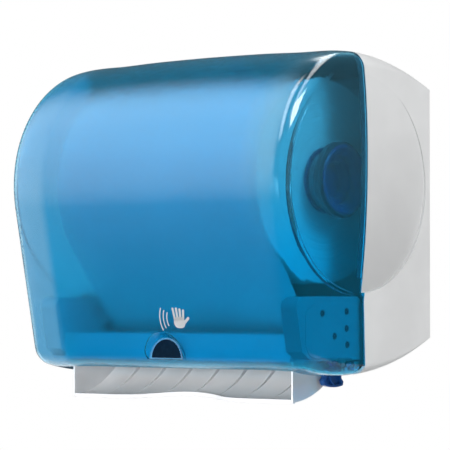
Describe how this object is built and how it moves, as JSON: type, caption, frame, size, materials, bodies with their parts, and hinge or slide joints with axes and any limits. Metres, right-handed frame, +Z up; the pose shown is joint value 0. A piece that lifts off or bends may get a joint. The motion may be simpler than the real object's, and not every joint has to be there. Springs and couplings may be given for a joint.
{
  "type": "automatic roll towel dispenser",
  "caption": "Wall-hung touchless towel dispenser: translucent hinged cover over a towel roll, motor feed rollers and an outlet chute below.",
  "frame": {"origin": "centre of the four wall fixing holes, on the wall plane", "axes": "+X to the right as seen from the front, +Y into the wall, +Z up"},
  "size_m": [0.35, 0.2247, 0.3327],
  "materials": {
    "cover_blue": "frosted gloss",
    "housing_white": "satin",
    "inner_grey": "moulded",
    "chute_grey": "moulded",
    "hub_blue": "satin",
    "lever_blue": "satin",
    "window_dark": "polished",
    "steel": "brushed",
    "brass": "plain",
    "rubber": "matt",
    "paper": "embossed paper",
    "card": "cardboard",
    "gear_white": "moulded",
    "board_green": "solder mask",
    "chip_black": "moulded",
    "led_red": "clear",
    "cell_wrap": "printed sleeve, bare"
  },
  "bodies": {
    "dispenser": {"rear_housing": "housing_white", "hinge_pins": "steel", "lock_body": "inner_grey", "left_arm": "inner_grey", "right_arm": "inner_grey", "arm_screws": "steel", "left_hub": "hub_blue", "hub_spring": "steel", "towel_web": "paper", "feed_frame": "inner_grey", "frame_screws": "steel", "shaft_bushes": "gear_white", "idler_axle": "steel", "motor": "steel", "gearbox_housing": "inner_grey", "gearbox_cover": "inner_grey", "gearbox_screws": "steel", "carrier_pins": "steel", "carrier_springs": "steel", "lever_pin": "steel", "control_box": "inner_grey", "control_box_lid": "inner_grey", "control_board": "board_green", "board_chips": "chip_black", "sensor_board": "board_green", "sensor_emitters": "chip_black", "status_led": "led_red", "towel_chute": "chute_grey", "tear_bar": "steel", "battery_case": "chip_black", "battery_cells": "cell_wrap", "contact_plates": "steel", "contact_spring": "steel"},
    "cover": {"front_cover": "cover_blue", "sensor_window": "window_dark"},
    "bolt": {"lock_bolt": "steel"},
    "key": {"key_barrel": "brass"},
    "hub": {"right_hub": "hub_blue"},
    "roll": {"roll_core": "card", "towel_roll": "paper"},
    "drive_roller": {"drive_shaft": "steel", "drive_sleeves": "rubber", "roller_gear": "gear_white"},
    "idler": {"idler_gear": "gear_white"},
    "pinion": {"motor_pinion": "brass"},
    "carrier": {"pinch_carrier": "inner_grey"},
    "pinch_roller": {"pinch_shaft": "steel", "pinch_sleeves": "rubber"},
    "lever": {"release_lever": "lever_blue"},
    "selector": {"mode_selector": "chip_black"},
    "door": {"battery_door": "chip_black"}
  },
  "joints": [
    {"name": "cover_hinge", "type": "hinge", "parent": "dispenser", "child": "cover", "pos_m": [0, -0.1105, -0.142], "axis": [1, 0, 0], "range_deg": [0, 90]},
    {"name": "key_turn", "type": "hinge", "parent": "dispenser", "child": "key", "pos_m": [-0.001, -0.085, 0.142], "axis": [0, 0, 1], "range_deg": [0, 90]},
    {"name": "bolt_slide", "type": "slide", "parent": "dispenser", "child": "bolt", "axis": [1, 0, 0], "range_m": [0, 0.008]},
    {"name": "hub_slide", "type": "slide", "parent": "dispenser", "child": "hub", "axis": [1, 0, 0], "range_m": [0, 0.008], "stiffness_N_per_m": 600, "springref_m": -0.005, "deforming": ["hub_spring"]},
    {"name": "roll_spin", "type": "hinge", "parent": "dispenser", "child": "roll", "pos_m": [0, -0.105, 0.032], "axis": [1, 0, 0], "continuous": true},
    {"name": "drive_spin", "type": "hinge", "parent": "dispenser", "child": "drive_roller", "pos_m": [0, -0.096, -0.126], "axis": [1, 0, 0], "continuous": true},
    {"name": "idler_spin", "type": "hinge", "parent": "dispenser", "child": "idler", "pos_m": [0, -0.12797, -0.11176], "axis": [1, 0, 0], "continuous": true},
    {"name": "pinion_spin", "type": "hinge", "parent": "dispenser", "child": "pinion", "pos_m": [0, -0.14931, -0.12479], "axis": [1, 0, 0], "continuous": true},
    {"name": "lever_turn", "type": "hinge", "parent": "dispenser", "child": "lever", "pos_m": [0, -0.097, -0.146], "axis": [1, 0, 0], "range_deg": [0, 12], "stiffness_Nm_per_rad": 0.6, "springref_deg": -5.73},
    {"name": "carrier_turn", "type": "hinge", "parent": "dispenser", "child": "carrier", "pos_m": [0, -0.121, -0.106], "axis": [1, 0, 0], "range_deg": [-9.2, 0]},
    {"name": "pinch_spin", "type": "hinge", "parent": "carrier", "child": "pinch_roller", "pos_m": [0, -0.1173, -0.126], "axis": [1, 0, 0], "continuous": true},
    {"name": "selector_slide", "type": "slide", "parent": "dispenser", "child": "selector", "axis": [0, 1, 0], "range_m": [-0.006, 0.006]},
    {"name": "door_hinge", "type": "hinge", "parent": "dispenser", "child": "door", "pos_m": [0, -0.0402, -0.1133], "axis": [1, 0, 0], "range_deg": [0, 85]}
  ],
  "couplings": [
    {"joint": "key_turn", "follows": "bolt_slide", "rad_per_m": 196.35},
    {"joint": "idler_spin", "follows": "drive_spin", "ratio": -0.84211},
    {"joint": "pinion_spin", "follows": "drive_spin", "ratio": 2.6667},
    {"joint": "pinch_spin", "follows": "drive_spin", "ratio": -1.3333},
    {"joint": "carrier_turn", "follows": "lever_turn", "ratio": -0.76}
  ]
}
